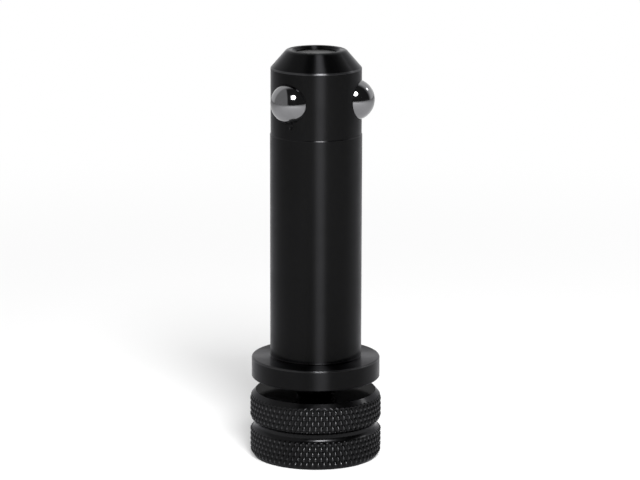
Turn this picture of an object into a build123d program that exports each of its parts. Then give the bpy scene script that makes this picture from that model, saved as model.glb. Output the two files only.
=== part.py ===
from build123d import *
import os
from math import cos, pi, radians, sin, tan

os.makedirs("parts", exist_ok=True)

# Ball lock pin for 28 mm system holes. Turning the knurled knob screws a spindle up the pin,
# and a cone at its end pushes three balls out through the wall, behind the plates being clamped.
# Millimetres. +Z runs along the pin to its tip, and the origin is the centre of the knob's base.

# Knob
knob_height = 20.5
knob_crest_r = 20.2
knob_valley_r = 19.55
knob_core_r = 19.5
knob_bevel_width = 1.75
knob_bevel_height = 1.95
knob_foot_width = 1.2
knob_foot_height = 1.8
knurl_starts = 70
knurl_rows = 5
knurl_row_height = 1.6
lower_knurl_base = 0.6
upper_knurl_base = 11.5
groove_height = 10.05
groove_r = 1.8
groove_centre_outside = 0.3

# Pin body
knob_gap = 4.2
flange_r = 19.65
flange_thickness = 6.4
flange_lower_chamfer = 0.3
flange_upper_fillet = 0.5
shank_r = 13.975
foot_relief_depth = 0.4
foot_relief_width = 0.6
guide_r = 13.8
shank_length = 69.1
step_length = 0.3
guide_length = 20.0
nose_length = 5.5
nose_r = 9.05
nose_shoulder_fillet = 0.5
nose_rim_fillet = 1.2
bore_r = 6.5
bore_mouth_chamfer = 0.8
thread_hole_r = 6.0
thread_hole_length = 23.6
thread_mouth_chamfer = 0.6

# Lock balls and the cone that drives them
ball_r = 6.35
ball_count = 3
first_ball_angle = -130
ball_centre_r = 11.47
ball_centre_above_step = 10.9
ball_pocket_clearance = 0.05
stake_r = 1.0
stake_depth = 0.3
stake_turn = 7.5
stake_drop = 6.9
cone_half_angle = 30
cone_ball_gap = 0.03
cone_skirt_r = 6.45
cone_nose_r = 1.5
cone_skirt_height = 9.5
thrust_ball_r = 3.0
thrust_seat_clearance = 0.02
thrust_gap = 1.0
cone_edge_chamfer = 0.4

# Tip plug
plug_length = 3.0
plug_recess = 1.0
plug_chamfer = 0.3
press_clearance = 0.01

# Spindle and its grub screw
journal_r = 5.0
spindle_recess = 1.0
spindle_thread_r = 5.95
spindle_thread_length = 35.5
stem_r = 6.4
stem_chamfer = 0.4
hex_across_flats = 6.0
hex_depth = 7.0
grub_hole_r = 2.5
grub_r = 2.46
grub_length = 12.0
grub_point_gap = 0.1
grub_hex_across_flats = 2.5
grub_hex_depth = 3.0
grub_angle = 90

# Heights worked out from the lengths above
flange_base = knob_height + knob_gap
flange_face = flange_base + flange_thickness
step_base = flange_face + shank_length
guide_base = step_base + step_length
nose_base = guide_base + guide_length
tip_height = nose_base + nose_length
thread_hole_top = flange_base + thread_hole_length
ball_height = step_base + ball_centre_above_step
cone_apex = ball_height + (
    ball_centre_r * cos(radians(cone_half_angle)) - ball_r - cone_ball_gap
) / sin(radians(cone_half_angle))
cone_shoulder = cone_apex - cone_skirt_r / tan(radians(cone_half_angle))
cone_nose = cone_apex - cone_nose_r / tan(radians(cone_half_angle))
cone_base = cone_shoulder - cone_skirt_height
spindle_top = cone_base - thrust_gap
thrust_ball_height = cone_base - thrust_gap / 2
thread_top = knob_height + spindle_thread_length
edge_tolerance = 0.001


def rims(circles, radius, height):
    """The circular edges of one radius at one height."""
    level = circles.filter_by_position(Axis.Z, height - edge_tolerance, height + edge_tolerance)
    round_edges = level.filter_by(GeomType.CIRCLE)
    return round_edges.filter_by(lambda edge: abs(edge.radius - radius) < edge_tolerance)


def knurled_blank(base):
    """A disc whose rim is a grid of four-sided points, each row half a pitch round from the last."""
    columns = 2 * knurl_starts

    def is_crest(row, column):
        return (row + column) % 2 == 0

    def grid_point(row, column):
        radius = knob_crest_r if is_crest(row, column) else knob_valley_r
        angle = 2 * pi * column / columns
        return Vector(radius * cos(angle), radius * sin(angle), base + row * knurl_row_height)

    def flat(corners):
        return Face(Wire.make_polygon(corners, close=True))

    faces = []
    for row in range(knurl_rows):
        for column in range(columns):
            near = grid_point(row, column)
            beside = grid_point(row, column + 1)
            above = grid_point(row + 1, column)
            across = grid_point(row + 1, column + 1)
            # The fold of each cell runs from valley to valley, so it lies along a cut of the knurl.
            if is_crest(row, column):
                faces.append(flat([near, beside, above]))
                faces.append(flat([across, above, beside]))
            else:
                faces.append(flat([beside, across, near]))
                faces.append(flat([above, near, across]))
    for row in (0, knurl_rows):
        faces.append(flat([grid_point(row, column) for column in range(columns)]))
    return Solid(Shell(faces))


# Pin body: flange, shank, guide and nose turned from one bar, bored from the tip.
with BuildPart() as pin_body:
    with BuildSketch(Plane.XZ):
        with BuildLine():
            Polyline(
                (0, flange_base),
                (flange_r, flange_base),
                (flange_r, flange_face),
                (shank_r - foot_relief_depth, flange_face),
                (shank_r - foot_relief_depth, flange_face + foot_relief_width),
                (shank_r, flange_face + foot_relief_width),
                (shank_r, step_base),
                (guide_r, guide_base),
                (guide_r, nose_base),
                (nose_r, tip_height),
                (0, tip_height),
                close=True,
            )
        make_face()
    revolve(axis=Axis.Z)
    chamfer(rims(pin_body.edges(), flange_r, flange_base), flange_lower_chamfer)
    fillet(rims(pin_body.edges(), flange_r, flange_face), flange_upper_fillet)
    fillet(rims(pin_body.edges(), guide_r, nose_base), nose_shoulder_fillet)
    fillet(rims(pin_body.edges(), nose_r, tip_height), nose_rim_fillet)

    # The bore takes the stem and the cone, and the threaded hole below it carries the spindle.
    with BuildSketch(Plane.XY.offset(thread_hole_top)):
        Circle(bore_r)
    extrude(amount=tip_height - thread_hole_top, mode=Mode.SUBTRACT)
    with BuildSketch(Plane.XY.offset(flange_base)):
        Circle(thread_hole_r)
    extrude(amount=thread_hole_length, mode=Mode.SUBTRACT)
    chamfer(rims(pin_body.edges(), bore_r, tip_height), bore_mouth_chamfer)
    chamfer(rims(pin_body.edges(), thread_hole_r, flange_base), thread_mouth_chamfer)

    # Ball pockets: a drilled hole that closes over the ball as a spherical lip at the surface.
    # A punch mark under each one is where that lip was staked over the ball.
    pocket_r = ball_r + ball_pocket_clearance
    stake_centre_r = guide_r + stake_r - stake_depth
    for index in range(ball_count):
        angle = first_ball_angle + index * 360 / ball_count
        outward = Axis.X.direction.rotate(Axis.Z, angle)
        pocket = Plane(origin=(0, 0, ball_height), x_dir=(0, 0, 1), z_dir=outward)
        with BuildSketch(pocket):
            Circle(pocket_r)
        extrude(amount=ball_centre_r, mode=Mode.SUBTRACT)
        with Locations(pocket.offset(ball_centre_r)):
            Sphere(pocket_r, mode=Mode.SUBTRACT)
        stake_outward = Axis.X.direction.rotate(Axis.Z, angle + stake_turn)
        with Locations(stake_outward * stake_centre_r + Vector(0, 0, ball_height - stake_drop)):
            Sphere(stake_r, mode=Mode.SUBTRACT)
pin_body.part.label = "pin_body"
export_step(pin_body.part, "parts/pin_body.step")


# Tip plug: a disc pressed into the bore's mouth.
with BuildPart() as tip_plug:
    with BuildSketch(Plane.XY.offset(tip_height - plug_recess)):
        Circle(bore_r - press_clearance)
    extrude(amount=-plug_length)
    chamfer(tip_plug.faces().sort_by(Axis.Z)[-1].edges(), plug_chamfer)
tip_plug.part.label = "tip_plug"
export_step(tip_plug.part, "parts/tip_plug.step")


# Lock balls, shown pushed out as far as their lips let them.
for index in range(ball_count):
    outward = Axis.X.direction.rotate(Axis.Z, first_ball_angle + index * 360 / ball_count)
    with BuildPart() as ball:
        with Locations(outward * ball_centre_r + Vector(0, 0, ball_height)):
            Sphere(ball_r)
    ball.part.label = f"ball_{index + 1}"
    export_step(ball.part, f"parts/ball_{index + 1}.step")


# Pressure cone: its flank drives the balls out, and its skirt guides it in the bore.
with BuildPart() as pressure_cone:
    with BuildSketch(Plane.XZ):
        with BuildLine():
            Polyline(
                (0, cone_base),
                (cone_skirt_r, cone_base),
                (cone_skirt_r, cone_shoulder),
                (cone_nose_r, cone_nose),
                (0, cone_nose),
                close=True,
            )
        make_face()
    revolve(axis=Axis.Z)
    chamfer(rims(pressure_cone.edges(), cone_skirt_r, cone_base), cone_edge_chamfer)
    with Locations((0, 0, thrust_ball_height)):
        Sphere(thrust_ball_r + thrust_seat_clearance, mode=Mode.SUBTRACT)
pressure_cone.part.label = "pressure_cone"
export_step(pressure_cone.part, "parts/pressure_cone.step")


# Thrust ball: lets the spindle turn while the cone only slides.
with BuildPart() as thrust_ball:
    with Locations((0, 0, thrust_ball_height)):
        Sphere(thrust_ball_r)
thrust_ball.part.label = "thrust_ball"
export_step(thrust_ball.part, "parts/thrust_ball.step")


# Spindle: journal in the knob, thread in the pin body, and a stem too wide to follow the thread out.
with BuildPart() as spindle:
    with BuildSketch(Plane.XZ):
        with BuildLine():
            Polyline(
                (0, spindle_recess),
                (journal_r - press_clearance, spindle_recess),
                (journal_r - press_clearance, knob_height),
                (spindle_thread_r, knob_height),
                (spindle_thread_r, thread_top),
                (stem_r, thread_top),
                (stem_r, spindle_top),
                (0, spindle_top),
                close=True,
            )
        make_face()
    revolve(axis=Axis.Z)
    chamfer(rims(spindle.edges(), stem_r, spindle_top), stem_chamfer)
    chamfer(rims(spindle.edges(), stem_r, thread_top), stem_chamfer / 2)
    with Locations((0, 0, thrust_ball_height)):
        Sphere(thrust_ball_r + thrust_seat_clearance, mode=Mode.SUBTRACT)
    with BuildSketch(Plane.XY.offset(spindle_recess)):
        RegularPolygon(radius=hex_across_flats / 2, side_count=6, major_radius=False)
    extrude(amount=hex_depth, mode=Mode.SUBTRACT)
spindle.part.label = "spindle"
export_step(spindle.part, "parts/spindle.step")


# Knob: two knurled bands with a smooth groove between them, bored for the spindle.
lower_band = knurled_blank(lower_knurl_base)
upper_band = knurled_blank(upper_knurl_base)
with BuildPart() as knob:
    with BuildSketch(Plane.XY):
        Circle(knob_core_r)
    extrude(amount=knob_height)
    add(lower_band)
    add(upper_band)

    # Turned after knurling: the groove, the top bevel and the foot chamfer.
    with BuildSketch(Plane.XZ):
        with Locations((knob_crest_r + groove_centre_outside, groove_height)):
            Circle(groove_r)
        with BuildLine():
            Polyline(
                (knob_crest_r - knob_bevel_width, knob_height),
                (knob_crest_r + knob_bevel_width, knob_height),
                (knob_crest_r + knob_bevel_width, knob_height - 2 * knob_bevel_height),
                close=True,
            )
        make_face()
        with BuildLine():
            Polyline(
                (knob_crest_r - knob_foot_width, 0),
                (knob_crest_r + knob_foot_width, 0),
                (knob_crest_r + knob_foot_width, 2 * knob_foot_height),
                close=True,
            )
        make_face()
    revolve(axis=Axis.Z, mode=Mode.SUBTRACT)
    with BuildSketch(Plane.XY):
        Circle(journal_r)
    extrude(amount=knob_height, mode=Mode.SUBTRACT)
    chamfer(rims(knob.edges(), journal_r, 0), spindle_recess)
    grub_axis = Axis.X.direction.rotate(Axis.Z, grub_angle)
    with BuildSketch(Plane(origin=(0, 0, groove_height), z_dir=grub_axis)):
        Circle(grub_hole_r)
    extrude(amount=knob_crest_r, mode=Mode.SUBTRACT)
knob.part.label = "knob"
export_step(knob.part, "parts/knob.step")


# Grub screw in the knob's groove, holding the knob to the spindle.
with BuildPart() as knob_grub_screw:
    point_centre = grub_axis * (journal_r + grub_point_gap) + Vector(0, 0, groove_height)
    grub_point = Plane(origin=point_centre, z_dir=grub_axis)
    with BuildSketch(grub_point):
        Circle(grub_r)
    extrude(amount=grub_length)
    with BuildSketch(grub_point.offset(grub_length)):
        RegularPolygon(radius=grub_hex_across_flats / 2, side_count=6, major_radius=False)
    extrude(amount=-grub_hex_depth, mode=Mode.SUBTRACT)
knob_grub_screw.part.label = "knob_grub_screw"
export_step(knob_grub_screw.part, "parts/knob_grub_screw.step")
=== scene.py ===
import math
import bpy
from mathutils import Matrix, Vector


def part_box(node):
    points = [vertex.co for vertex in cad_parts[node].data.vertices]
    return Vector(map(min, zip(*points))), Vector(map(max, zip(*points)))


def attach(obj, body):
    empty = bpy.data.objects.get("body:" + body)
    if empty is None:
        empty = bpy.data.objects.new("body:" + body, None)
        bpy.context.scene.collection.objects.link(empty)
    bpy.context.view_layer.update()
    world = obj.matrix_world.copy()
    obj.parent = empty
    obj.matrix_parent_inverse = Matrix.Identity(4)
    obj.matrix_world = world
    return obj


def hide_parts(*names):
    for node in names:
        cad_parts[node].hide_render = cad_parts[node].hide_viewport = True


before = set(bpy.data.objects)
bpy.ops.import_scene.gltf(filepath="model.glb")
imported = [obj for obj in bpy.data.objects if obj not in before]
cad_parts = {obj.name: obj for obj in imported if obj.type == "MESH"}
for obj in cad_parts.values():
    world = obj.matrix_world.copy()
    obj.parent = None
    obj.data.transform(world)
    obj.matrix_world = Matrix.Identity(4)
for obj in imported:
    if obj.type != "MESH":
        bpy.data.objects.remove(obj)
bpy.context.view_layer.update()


# Studio: a white sweep behind and under the pin, a grey wall on its left and a dim room in front.
# A soft round lamp stands above the camera, a little to its right. A small one at the right rear
# puts a second spark on the balls.

def linear(hex_colour):
    """The linear colour of an sRGB hex value."""
    channels = [int(hex_colour[i:i + 2], 16) / 255 for i in (1, 3, 5)]
    curved = [c / 12.92 if c <= 0.04045 else ((c + 0.055) / 1.055) ** 2.4 for c in channels]
    return (*curved, 1)


def add_node(tree, kind, settings=None, inputs=None):
    """One shader node, with its settings, and its inputs given as values or as another node's socket."""
    node = tree.nodes.new(kind)
    for name, value in (settings or {}).items():
        setattr(node, name, value)
    for name, value in (inputs or {}).items():
        if isinstance(value, bpy.types.NodeSocket):
            tree.links.new(value, node.inputs[name])
        else:
            node.inputs[name].default_value = value
    return node


def empty_material(name):
    """A material with no nodes, and the node tree to fill."""
    material = bpy.data.materials.new(name)
    material.use_nodes = True
    material.node_tree.nodes.clear()
    return material, material.node_tree


def new_piece(name, mesh, material):
    """An object in the scene made of one mesh and one material."""
    mesh.materials.append(material)
    piece = bpy.data.objects.new(name, mesh)
    bpy.context.scene.collection.objects.link(piece)
    return piece


def round_lamp(name, diameter, watts, azimuth, height):
    """A round soft lamp aimed at the middle of the pin.

    Its azimuth is in degrees to the right of the front, and its height in degrees above level.
    """
    lamp_distance = 0.9
    pin_middle = Vector((0, 0, 0.07))
    turn = math.radians(azimuth)
    rise = math.radians(height)
    lamp_data = bpy.data.lights.new(name, "AREA")
    lamp_data.shape = "DISK"
    lamp_data.size = diameter
    lamp_data.energy = watts
    lamp = bpy.data.objects.new(name, lamp_data)
    bpy.context.scene.collection.objects.link(lamp)
    away = Vector((math.sin(turn) * math.cos(rise), -math.cos(turn) * math.cos(rise), math.sin(rise)))
    lamp.location = pin_middle + lamp_distance * away
    lamp.rotation_euler = (pin_middle - lamp.location).to_track_quat("-Z", "Y").to_euler()


camera_pitch = 12.509
camera_roll = -0.126
camera_yaw = -0.05
camera_data = bpy.data.cameras.new("camera")
camera = bpy.data.objects.new("camera", camera_data)
bpy.context.scene.collection.objects.link(camera)
bpy.context.scene.camera = camera
camera_data.lens = 173.05
camera_data.sensor_width = 36
camera_data.clip_end = 20
camera.location = (0, -0.91547, 0.27039)
camera.rotation_euler = (
    math.radians(90 - camera_pitch),
    math.radians(camera_roll),
    math.radians(camera_yaw),
)
bpy.context.scene.view_settings.view_transform = "Standard"

world = bpy.data.worlds.new("studio")
bpy.context.scene.world = world
world.use_nodes = True
tree = world.node_tree
tree.nodes.clear()
front_brightness = 0.04
wall_brightness = 0.5
direction = add_node(tree, "ShaderNodeTexCoord").outputs["Generated"]
split = add_node(tree, "ShaderNodeSeparateXYZ", inputs={"Vector": direction})
sweep = add_node(
    tree,
    "ShaderNodeMapRange",
    {"interpolation_type": "SMOOTHSTEP"},
    {
        "Value": split.outputs["Y"],
        "From Min": 0.0,
        "From Max": 0.45,
        "To Min": front_brightness,
        "To Max": 1.0,
    },
)
left_wall = add_node(
    tree,
    "ShaderNodeMapRange",
    {"interpolation_type": "SMOOTHSTEP"},
    {
        "Value": split.outputs["X"],
        "From Min": -0.3,
        "From Max": -0.42,
        "To Min": 0.0,
        "To Max": wall_brightness,
    },
)
room = add_node(
    tree,
    "ShaderNodeMath",
    {"operation": "MAXIMUM"},
    {0: sweep.outputs["Result"], 1: left_wall.outputs["Result"]},
)
ray = add_node(tree, "ShaderNodeLightPath")
brightness = add_node(
    tree,
    "ShaderNodeMath",
    {"operation": "MAXIMUM"},
    {0: room.outputs["Value"], 1: ray.outputs["Is Camera Ray"]},
)
background = add_node(
    tree, "ShaderNodeBackground", inputs={"Color": (1, 1, 1, 1), "Strength": brightness.outputs["Value"]}
)
add_node(tree, "ShaderNodeOutputWorld", inputs={"Surface": background.outputs["Background"]})

round_lamp("round_softbox", diameter=0.34, watts=11, azimuth=12, height=42)
round_lamp("side_lamp", diameter=0.14, watts=0.4, azimuth=116, height=34)

# The floor is matt white card. It fades into the white of the sweep half a metre out.
fade_start = 0.05
fade_end = 0.5
nearest_fade = 0.35
floor_material, tree = empty_material("white_card")
place = add_node(tree, "ShaderNodeNewGeometry").outputs["Position"]
distance = add_node(tree, "ShaderNodeVectorMath", {"operation": "LENGTH"}, {0: place})
fade = add_node(
    tree,
    "ShaderNodeMapRange",
    {"interpolation_type": "SMOOTHSTEP"},
    {
        "Value": distance.outputs["Value"],
        "From Min": fade_start,
        "From Max": fade_end,
        "To Min": nearest_fade,
        "To Max": 1.0,
    },
)
ray = add_node(tree, "ShaderNodeLightPath")
seen_fade = add_node(
    tree,
    "ShaderNodeMath",
    {"operation": "MULTIPLY"},
    {0: fade.outputs["Result"], 1: ray.outputs["Is Camera Ray"]},
)
card = add_node(tree, "ShaderNodeBsdfDiffuse", inputs={"Color": linear("#ececec"), "Roughness": 0.5})
glow = add_node(tree, "ShaderNodeEmission", inputs={"Color": (1, 1, 1, 1), "Strength": 1.0})
blend = add_node(
    tree,
    "ShaderNodeMixShader",
    inputs={0: seen_fade.outputs["Value"], 1: card.outputs["BSDF"], 2: glow.outputs["Emission"]},
)
add_node(tree, "ShaderNodeOutputMaterial", inputs={"Surface": blend.outputs["Shader"]})
floor_half = 3.0
floor_corners = [
    (-floor_half, -floor_half, 0),
    (floor_half, -floor_half, 0),
    (floor_half, floor_half, 0),
    (-floor_half, floor_half, 0),
]
floor_mesh = bpy.data.meshes.new("floor")
floor_mesh.from_pydata(floor_corners, [], [(0, 1, 2, 3)])
floor = new_piece("floor", floor_mesh, floor_material)


# Pin body: one bar of alloy steel, turned, hardened and ground on its shank, then black-oxidised.
# The oxide is a thin satin skin with oil in it. The fine grinding lines round the pin spread its
# shine up and down into one soft streak. The corners get bands of bright bare-steel colour, partly
# wear and partly painted highlight lines.

MM = 0.001
flange_edge = 30.8
shank_foot = 31.85
shank_end = 100.3
nose_shoulder = 120.5


def machined_steel(name, colour, thin_colour, edge_colour, roughness, stretch, line_spacing, line_length,
                   line_depth, worn_and_highlight=None):
    """Steel with fine machining lines round its axis, and a film of oil in patches.

    The colours are those of a thick and a thin oxide, or of bright steel, and the edge colour tints
    what a glancing look sees. A stretch of 1 spreads the shine most across the lines. Where the
    wear-and-highlight mask nears 1, the colour turns to bright bare steel, which is partly wear and
    partly a painted highlight.
    """
    bare_steel_and_highlight = "#59595b"
    oil_patch = 9 * MM
    oil_film = 0.12
    material, tree = empty_material(name)
    place = add_node(tree, "ShaderNodeTexCoord").outputs["Object"]
    stretched = add_node(
        tree,
        "ShaderNodeMapping",
        inputs={"Vector": place, "Scale": (1 / line_length, 1 / line_length, 1 / line_spacing)},
    )
    lines = add_node(
        tree,
        "ShaderNodeTexNoise",
        inputs={"Vector": stretched.outputs["Vector"], "Scale": 1.0, "Detail": 3.0, "Roughness": 0.6},
    )
    patches = add_node(
        tree,
        "ShaderNodeTexNoise",
        inputs={"Vector": place, "Scale": 1 / oil_patch, "Detail": 4.0, "Roughness": 0.55},
    )
    oil = add_node(
        tree,
        "ShaderNodeMapRange",
        inputs={
            "Value": patches.outputs["Fac"],
            "From Min": 0.3,
            "From Max": 0.7,
            "To Min": roughness - 0.05,
            "To Max": roughness + 0.06,
        },
    )
    ground = add_node(
        tree,
        "ShaderNodeMath",
        {"operation": "MULTIPLY_ADD"},
        {0: lines.outputs["Fac"], 1: 0.1, 2: oil.outputs["Result"]},
    )
    skin = add_node(
        tree,
        "ShaderNodeMix",
        {"data_type": "RGBA"},
        {"Factor": patches.outputs["Fac"], "A": linear(colour), "B": linear(thin_colour)},
    )
    surface_colour = skin.outputs["Result"]
    # Bright bare-steel colour where the mask is high: partly wear, partly painted highlight.
    if worn_and_highlight:
        rubbed_and_highlit = add_node(
            tree,
            "ShaderNodeMix",
            {"data_type": "RGBA"},
            {"Factor": worn_and_highlight(tree, place), "A": surface_colour, "B": linear(bare_steel_and_highlight)},
        )
        surface_colour = rubbed_and_highlit.outputs["Result"]
    relief = add_node(
        tree,
        "ShaderNodeBump",
        inputs={"Height": lines.outputs["Fac"], "Distance": line_depth, "Strength": 1.0},
    )
    around = add_node(tree, "ShaderNodeTangent", {"direction_type": "RADIAL", "axis": "Z"})
    steel = add_node(
        tree,
        "ShaderNodeBsdfPrincipled",
        inputs={
            "Base Color": surface_colour,
            "Metallic": 1.0,
            "Roughness": ground.outputs["Value"],
            "Specular Tint": linear(edge_colour),
            "Anisotropic": stretch,
            "Anisotropic Rotation": 0.25,
            "Coat Weight": oil_film,
            "Coat Roughness": 0.12,
            "Normal": relief.outputs["Normal"],
            "Tangent": around.outputs["Tangent"],
        },
    )
    add_node(tree, "ShaderNodeOutputMaterial", inputs={"Surface": steel.outputs["BSDF"]})
    return material


def pin_corner_wear_and_highlights(tree, place):
    """How bright the turned corners of the pin are painted: partly wear where plates and hands rub, partly
    painted highlight lines. Elsewhere it is 0.
    """
    height = add_node(tree, "ShaderNodeSeparateXYZ", inputs={"Vector": place}).outputs["Z"]
    corners = (
        (flange_edge, 0.24, 0.4),
        (shank_foot, 0.1, 0.25),
        (shank_end, 0.2, 0.12),
        (nose_shoulder, 0.3, 0.65),
    )
    total = 0.0
    for middle, reach, bareness_and_highlight in corners:
        corner = add_node(
            tree, "ShaderNodeMath", {"operation": "COMPARE"}, {0: height, 1: middle * MM, 2: reach * MM}
        )
        total = add_node(
            tree,
            "ShaderNodeMath",
            {"operation": "MULTIPLY_ADD"},
            {0: corner.outputs["Value"], 1: bareness_and_highlight, 2: total},
        ).outputs["Value"]
    return total


def dress(node_name, material):
    """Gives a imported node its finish."""
    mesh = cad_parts[node_name].data
    mesh.materials.clear()
    mesh.materials.append(material)


ground_oxide = machined_steel(
    "ground_black_oxide",
    colour="#131314",
    thin_colour="#1a1a1b",
    edge_colour="#dadadc",
    roughness=0.34,
    stretch=1.0,
    line_spacing=0.25 * MM,
    line_length=4 * MM,
    line_depth=0.002 * MM,
    worn_and_highlight=pin_corner_wear_and_highlights,
)
dress("pin_body", ground_oxide)


# Tip plug: a disc of the same steel pressed into the bore's mouth, faced on the lathe.
# Its face keeps the fine rings that facing leaves.

ring_spacing = 0.2 * MM
ring_depth = 0.004 * MM
dull_patch = 3 * MM
faced_oxide, tree = empty_material("faced_black_oxide")
place = add_node(tree, "ShaderNodeTexCoord").outputs["Object"]
flat_place = add_node(tree, "ShaderNodeVectorMath", {"operation": "MULTIPLY"}, {0: place, 1: (1, 1, 0)})
reach = add_node(tree, "ShaderNodeVectorMath", {"operation": "LENGTH"}, {0: flat_place.outputs["Vector"]})
ring_count = add_node(
    tree, "ShaderNodeMath", {"operation": "DIVIDE"}, {0: reach.outputs["Value"], 1: ring_spacing}
)
rings = add_node(
    tree, "ShaderNodeTexNoise", {"noise_dimensions": "1D"}, {"W": ring_count.outputs["Value"], "Scale": 1.0}
)
ring_relief = add_node(
    tree, "ShaderNodeBump", inputs={"Height": rings.outputs["Fac"], "Distance": ring_depth}
)
patches = add_node(
    tree, "ShaderNodeTexNoise", inputs={"Vector": place, "Scale": 1 / dull_patch, "Detail": 3.0}
)
sheen = add_node(
    tree,
    "ShaderNodeMapRange",
    inputs={"Value": patches.outputs["Fac"], "To Min": 0.3, "To Max": 0.45},
)
skin = add_node(
    tree,
    "ShaderNodeMix",
    {"data_type": "RGBA"},
    {"Factor": patches.outputs["Fac"], "A": linear("#1f1f21"), "B": linear("#29292b")},
)
steel = add_node(
    tree,
    "ShaderNodeBsdfPrincipled",
    inputs={
        "Base Color": skin.outputs["Result"],
        "Metallic": 1.0,
        "Roughness": sheen.outputs["Result"],
        "Normal": ring_relief.outputs["Normal"],
    },
)
add_node(tree, "ShaderNodeOutputMaterial", inputs={"Surface": steel.outputs["BSDF"]})
dress("tip_plug", faced_oxide)


# Lock balls: hardened chrome bearing steel, lapped to a mirror, so they show the whole studio.
# Use has left the odd hair scratch, which only dulls the shine a little.

haze_patch = 1.5 * MM
scratch_length = 4 * MM
scratch_width = 0.15 * MM
scratch_depth = 0.0006 * MM
scratch_lean = (0.4, 0.9, 0.3)
bearing_steel, tree = empty_material("lapped_bearing_steel")
place = add_node(tree, "ShaderNodeTexCoord").outputs["Object"]
haze = add_node(
    tree, "ShaderNodeTexNoise", inputs={"Vector": place, "Scale": 1 / haze_patch, "Detail": 5.0}
)
shine = add_node(
    tree,
    "ShaderNodeMapRange",
    inputs={"Value": haze.outputs["Fac"], "To Min": 0.03, "To Max": 0.12},
)
scratch_field = add_node(
    tree,
    "ShaderNodeMapping",
    inputs={
        "Vector": place,
        "Rotation": scratch_lean,
        "Scale": (1 / scratch_length, 1 / scratch_length, 1 / scratch_width),
    },
)
scratches = add_node(
    tree,
    "ShaderNodeTexNoise",
    inputs={"Vector": scratch_field.outputs["Vector"], "Scale": 1.0, "Detail": 2.0},
)
scratch_relief = add_node(
    tree, "ShaderNodeBump", inputs={"Height": scratches.outputs["Fac"], "Distance": scratch_depth}
)
tone = add_node(
    tree,
    "ShaderNodeMix",
    {"data_type": "RGBA"},
    {"Factor": haze.outputs["Fac"], "A": linear("#7a7a7c"), "B": linear("#848486")},
)
steel = add_node(
    tree,
    "ShaderNodeBsdfPrincipled",
    inputs={
        "Base Color": tone.outputs["Result"],
        "Metallic": 1.0,
        "Roughness": shine.outputs["Result"],
        "Normal": scratch_relief.outputs["Normal"],
    },
)
add_node(tree, "ShaderNodeOutputMaterial", inputs={"Surface": steel.outputs["BSDF"]})
for ball_name in ("ball_1", "ball_2", "ball_3", "thrust_ball"):
    dress(ball_name, bearing_steel)


# Pressure cone: hardened and ground steel, shut inside the pin with the thrust ball.
# It is left bright, because the balls roll on its flank.

ground_bright = machined_steel(
    "ground_bright_steel",
    colour="#9a9a9c",
    thin_colour="#8a8a8c",
    edge_colour="#ffffff",
    roughness=0.22,
    stretch=0.6,
    line_spacing=0.2 * MM,
    line_length=4 * MM,
    line_depth=0.002 * MM,
)
dress("pressure_cone", ground_bright)


# Spindle: turned steel with an M12 x 1.75 thread, its colour painted dark as painted shade in the
# gap between flange and knob. The thread shows over the knob when it is screwed out. Its lower end
# has the hex socket for the key.

def ring_of_points(radius_at, height, columns):
    """The points of one turn, radius_at(angle) from the axis."""
    points = []
    for column in range(columns):
        angle = 2 * math.pi * column / columns
        radius = radius_at(angle)
        points.append((radius * math.cos(angle) * MM, radius * math.sin(angle) * MM, height * MM))
    return points


def plain_ring(radius, height, columns):
    """The points of one round turn."""
    return ring_of_points(lambda angle: radius, height, columns)


def turned_mesh(name, rings, closed):
    """A skin over rings of points. Closed joins the last ring to the first. Else the ends are capped."""
    columns = len(rings[0])
    points = [point for ring in rings for point in ring]
    faces = []
    bands = len(rings) if closed else len(rings) - 1
    for row in range(bands):
        low = row * columns
        high = (row + 1) % len(rings) * columns
        for column in range(columns):
            beside = (column + 1) % columns
            faces.append((low + column, low + beside, high + beside, high + column))
    if not closed:
        top = (len(rings) - 1) * columns
        faces.append(tuple(reversed(range(columns))))
        faces.append(tuple(range(top, top + columns)))
    mesh = bpy.data.meshes.new(name)
    mesh.from_pydata(points, [], faces)
    mesh.update()
    return mesh


def cut_out(piece, cutter_mesh):
    """Takes a shape out of a piece for good."""
    cutter = bpy.data.objects.new("cutter", cutter_mesh)
    bpy.context.scene.collection.objects.link(cutter)
    cut = piece.modifiers.new("cut", "BOOLEAN")
    cut.operation = "DIFFERENCE"
    cut.solver = "EXACT"
    cut.object = cutter
    bpy.context.view_layer.update()
    evaluated = piece.evaluated_get(bpy.context.evaluated_depsgraph_get())
    piece_mesh = bpy.data.meshes.new_from_object(evaluated)
    piece.modifiers.clear()
    piece.data = piece_mesh
    bpy.data.objects.remove(cutter)


def soften(piece):
    """Smooth shading that still breaks at real edges."""
    edge_angle = math.radians(28)
    for face in piece.data.polygons:
        face.use_smooth = True
    piece.data.set_sharp_from_angle(angle=edge_angle)


spindle_low, spindle_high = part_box("spindle")
spindle_bottom = spindle_low.z / MM
spindle_top = spindle_high.z / MM
knob_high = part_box("knob")[1]
knob_top = knob_high.z / MM
thread_pitch = 1.75
thread_crest_r = 5.95
thread_root_r = 4.95
thread_flank_rise = 2.6
thread_root_share = 0.15
thread_length = 35.5
thread_columns = 96
thread_rows = 300
journal_r = 4.99
stem_r = 6.4
end_chamfer = 0.4
stem_foot_rise = 0.2
hex_across_flats = 6
hex_depth = 7
cutter_overshoot = 1


def thread_radius(height):
    """The radius round one turn of the thread: sloping flanks with a flat crest and root."""
    def radius_at(angle):
        phase = (height / thread_pitch - angle / (2 * math.pi)) % 1
        flank = thread_flank_rise * abs(phase - 0.5) - thread_root_share
        return thread_root_r + (thread_crest_r - thread_root_r) * min(max(flank, 0), 1)
    return radius_at


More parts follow.
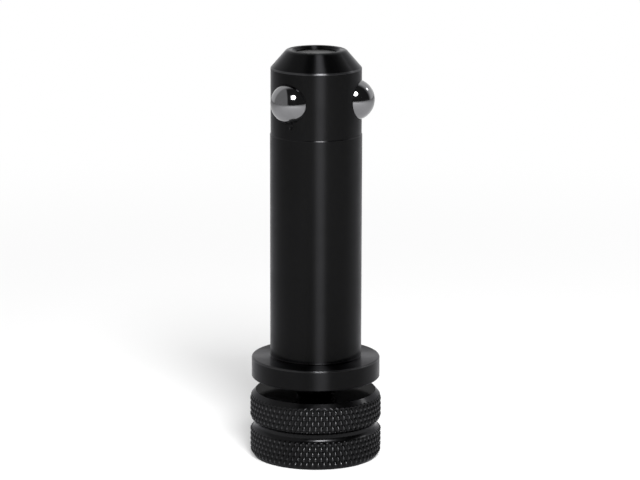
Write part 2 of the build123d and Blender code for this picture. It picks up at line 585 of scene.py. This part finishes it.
spindle_rings = [
    plain_ring(journal_r - end_chamfer, spindle_bottom, thread_columns),
    plain_ring(journal_r, spindle_bottom + end_chamfer, thread_columns),
    plain_ring(journal_r, knob_top, thread_columns),
]
for row in range(thread_rows + 1):
    height = knob_top + thread_length * row / thread_rows
    spindle_rings.append(ring_of_points(thread_radius(height), height, thread_columns))
spindle_rings += [
    plain_ring(stem_r, knob_top + thread_length + stem_foot_rise, thread_columns),
    plain_ring(stem_r, spindle_top - end_chamfer, thread_columns),
    plain_ring(stem_r - end_chamfer, spindle_top, thread_columns),
]
# Dark colour: painted shade for the gap between flange and knob.
shade_dark_turned_steel = machined_steel(
    "turned_steel_painted_shade",
    colour="#2a2a2b",
    thin_colour="#363637",
    edge_colour="#dadadc",
    roughness=0.28,
    stretch=0.4,
    line_spacing=0.3 * MM,
    line_length=5 * MM,
    line_depth=0.004 * MM,
)
spindle_mesh = turned_mesh("threaded_spindle", spindle_rings, closed=False)
spindle = new_piece("threaded_spindle", spindle_mesh, shade_dark_turned_steel)
hex_corner_r = hex_across_flats / 2 / math.cos(math.radians(30))
hex_rings = [
    plain_ring(hex_corner_r, spindle_bottom - cutter_overshoot, 6),
    plain_ring(hex_corner_r, spindle_bottom + hex_depth, 6),
]
cut_out(spindle, turned_mesh("hex_cutter", hex_rings, closed=False))
soften(spindle)
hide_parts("spindle")
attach(spindle, "drive")


# Knob: a steel bar knurled in a diamond pattern, then grooved and bevelled on the lathe.
# The wheels leave points, and the turning cuts across them at the edges. The points are
# coloured bright bare steel, partly as oxide worn off and partly as painted glints.

crest_r = knob_high.x / MM
knurl_depth = 0.65
point_overshoot = 0.08
knurl_starts = 70
knurl_lead = 3.2
bevel_width = 1.75
bevel_height = 1.95
foot_width = 1.2
foot_height = 1.8
groove_height = 10.05
groove_r = 1.8
groove_centre_outside = 0.3
knob_bore_r = 5.0
knob_bore_chamfer = 1.0
columns_per_point = 10
row_spacing = 0.2
valley_r = crest_r - knurl_depth
sharp_point_r = crest_r + point_overshoot
wear_and_glint_from_r = crest_r - 0.34
wear_and_glint_to_r = crest_r - 0.08


def turned_radius(height):
    """The smooth outline that the lathe leaves, without the knurl."""
    radius = crest_r
    if height < foot_height:
        radius = crest_r - foot_width * (1 - height / foot_height)
    bevel_rise = height - (knob_top - bevel_height)
    if bevel_rise > 0:
        radius = crest_r - bevel_width * bevel_rise / bevel_height
    from_groove = abs(height - groove_height)
    if from_groove < groove_r:
        groove_wall = crest_r + groove_centre_outside - math.sqrt(groove_r ** 2 - from_groove ** 2)
        radius = min(radius, groove_wall)
    return radius


def knurled_radius(height):
    """The radius round one turn of the knob: the knurl, wherever the lathe hasn't cut below it."""
    outline = turned_radius(height)

    def radius_at(angle):
        turn = knurl_starts * angle / (2 * math.pi)
        lean = height / knurl_lead
        right_cut = 1 - abs(2 * ((turn + lean) % 1) - 1)
        left_cut = 1 - abs(2 * ((turn - lean) % 1) - 1)
        knurl = valley_r + (sharp_point_r - valley_r) * right_cut * left_cut
        return min(outline, knurl)
    return radius_at


# The knurl points get a brighter bare-steel colour: partly wear of the oxide, partly painted glints.
def knurl_point_wear_and_glints(tree, place):
    """1 on the points of the knurl and 0 in its cuts, by the distance from the axis."""
    flat_place = add_node(tree, "ShaderNodeVectorMath", {"operation": "MULTIPLY"}, {0: place, 1: (1, 1, 0)})
    reach = add_node(
        tree, "ShaderNodeVectorMath", {"operation": "LENGTH"}, {0: flat_place.outputs["Vector"]}
    )
    point = add_node(
        tree,
        "ShaderNodeMapRange",
        {"interpolation_type": "SMOOTHSTEP"},
        {"Value": reach.outputs["Value"], "From Min": wear_and_glint_from_r * MM, "From Max": wear_and_glint_to_r * MM},
    )
    return point.outputs["Result"]


knob_columns = knurl_starts * columns_per_point
knob_rows = round(knob_top / row_spacing)
knob_rings = []
for row in range(knob_rows + 1):
    height = knob_top * row / knob_rows
    knob_rings.append(ring_of_points(knurled_radius(height), height, knob_columns))
knob_rings += [
    plain_ring(knob_bore_r, knob_top, knob_columns),
    plain_ring(knob_bore_r, knob_bore_chamfer, knob_columns),
    plain_ring(knob_bore_r + knob_bore_chamfer, 0, knob_columns),
]
knurled_oxide = machined_steel(
    "knurled_black_oxide",
    colour="#1b1b1c",
    thin_colour="#232324",
    edge_colour="#c4c4c6",
    roughness=0.22,
    stretch=0.0,
    line_spacing=0.5 * MM,
    line_length=1.5 * MM,
    line_depth=0.003 * MM,
    worn_and_highlight=knurl_point_wear_and_glints,
)
knob = new_piece("knurled_knob", turned_mesh("knurled_knob", knob_rings, closed=True), knurled_oxide)
screw_hole_r = 2.5
screw_hole_foot = 2
screw_hole_columns = 48
hole_rings = [
    plain_ring(screw_hole_r, screw_hole_foot, screw_hole_columns),
    plain_ring(screw_hole_r, crest_r + 2 * cutter_overshoot, screw_hole_columns),
]
hole_mesh = turned_mesh("screw_hole_cutter", hole_rings, closed=False)
towards_back = Matrix.Rotation(math.radians(-90), 4, "X")
hole_mesh.transform(Matrix.Translation((0, 0, groove_height * MM)) @ towards_back)
cut_out(knob, hole_mesh)
soften(knob)

# The knob's top was faced smooth before the oxide went on. Its colour and edge tint are painted near black,
# as painted shade under the flange.
knob_top_shade = machined_steel(
    "knob_top_painted_shade",
    colour="#101011",
    thin_colour="#161617",
    edge_colour="#707072",
    roughness=0.2,
    stretch=0.0,
    line_spacing=0.3 * MM,
    line_length=3 * MM,
    line_depth=0.002 * MM,
)
knob.data.materials.append(knob_top_shade)
level_tolerance = 0.001
for face in knob.data.polygons:
    if face.center.z > (knob_top - level_tolerance) * MM:
        face.material_index = 1
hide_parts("knob")
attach(knob, "drive")


# Grub screw: a small black-oxidised socket screw in the groove at the back of the knob.
# It pins the knob to the spindle.

screw_oxide = machined_steel(
    "screw_black_oxide",
    colour="#1f1f21",
    thin_colour="#29292b",
    edge_colour="#dadadc",
    roughness=0.33,
    stretch=0.0,
    line_spacing=0.3 * MM,
    line_length=0.8 * MM,
    line_depth=0.003 * MM,
)
dress("knob_grub_screw", screw_oxide)
